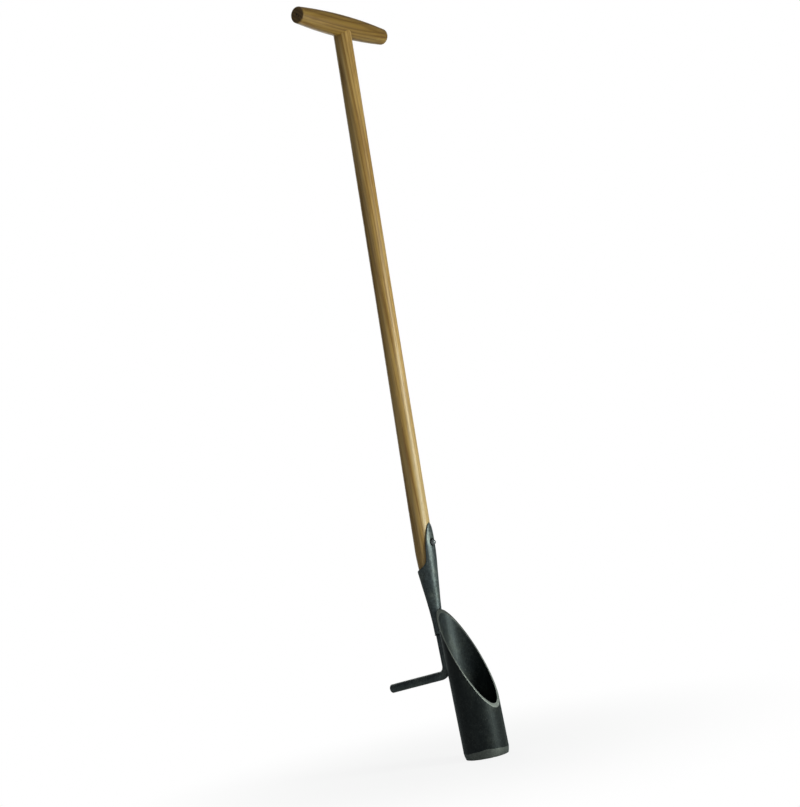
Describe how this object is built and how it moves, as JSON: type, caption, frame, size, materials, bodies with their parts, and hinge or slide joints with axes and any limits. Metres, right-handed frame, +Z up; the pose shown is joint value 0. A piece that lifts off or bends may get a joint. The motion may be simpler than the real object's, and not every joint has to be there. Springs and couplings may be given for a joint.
{
  "type": "long-handled bulb planter",
  "caption": "Long-handled bulb planter: steel cutting tube with a slanted window, foot bar, socketed straight wooden shaft and turned wooden T-grip.",
  "frame": {"origin": "centre of the tool's outline seen from above, at the height of the cutting edge", "axes": "+Z up the cutting tube's axis towards the grip, +X along the T-grip, +Y towards the foot bar, so the tube's window faces -Y"},
  "size_m": [0.198, 0.173, 1.0668],
  "materials": {
    "forged_steel": "blackened heat-treated steel, satin",
    "weld_steel": "blackened weld bead",
    "zinc_steel": "bright zinc plate",
    "ash_wood": "oiled ash",
    "wedge_wood": "plain hardwood"
  },
  "bodies": {
    "root": {"cutting_tube": "forged_steel", "foot_bar": "forged_steel", "socket": "forged_steel", "socket_screw": "zinc_steel", "shaft": "ash_wood", "t_grip": "ash_wood", "tenon_wedge": "wedge_wood", "rod_weld_left": "weld_steel", "rod_weld_right": "weld_steel", "socket_weld_left": "weld_steel", "socket_weld_right": "weld_steel", "socket_end_weld": "weld_steel"}
  },
  "joints": []
}
